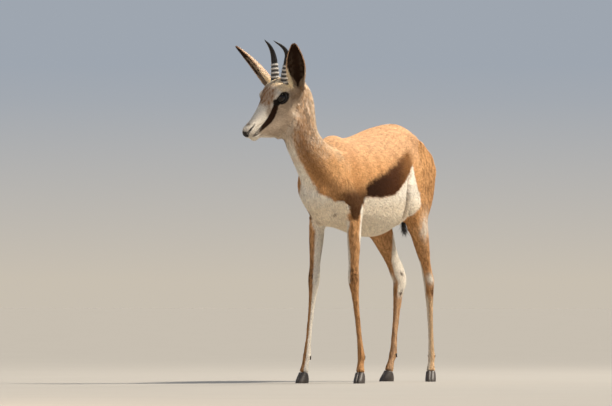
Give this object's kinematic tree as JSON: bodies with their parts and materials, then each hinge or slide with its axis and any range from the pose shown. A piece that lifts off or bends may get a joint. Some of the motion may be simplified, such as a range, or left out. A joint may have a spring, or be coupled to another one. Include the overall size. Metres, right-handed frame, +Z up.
{
  "type": "springbok",
  "caption": "Life-size springbok standing alert with its head turned to one side, short ringed horns, long pointed ears and hanging tail.",
  "frame": {"origin": "on the floor, under the middle of the bounding box", "axes": "+Z up, -Y the way the body faces, +X its left side"},
  "size_m": [0.3032, 1.0112, 0.9822],
  "materials": {
    "fawn": "short fawn, dark brown and white fur",
    "pale": "short white fur",
    "black": "black tail hair",
    "horn": "dark ringed horn",
    "eye": "glossy dark brown eye",
    "claw": "dark hoof horn"
  },
  "bodies": {
    "root": {"claw_front_left_inner": "claw", "claw_front_left_outer": "claw", "claw_front_right_inner": "claw", "claw_front_right_outer": "claw", "claw_hind_left_inner": "claw", "claw_hind_left_outer": "claw", "claw_hind_right_inner": "claw", "claw_hind_right_outer": "claw", "dewclaw_front_left_inner": "claw", "dewclaw_front_left_outer": "claw", "dewclaw_front_right_inner": "claw", "dewclaw_front_right_outer": "claw", "dewclaw_hind_left_inner": "claw", "dewclaw_hind_left_outer": "claw", "dewclaw_hind_right_inner": "claw", "dewclaw_hind_right_outer": "claw", "ear_left": "fawn", "ear_right": "fawn", "eye_left": "eye", "eye_right": "eye", "head": "fawn", "horn_left": "horn", "horn_right": "horn", "leg_front_left": "fawn", "leg_front_right": "fawn", "leg_hind_left": "fawn", "leg_hind_right": "fawn", "neck": "fawn", "tail": "pale", "tail_tuft": "black", "trunk": "fawn"}
  },
  "joints": []
}
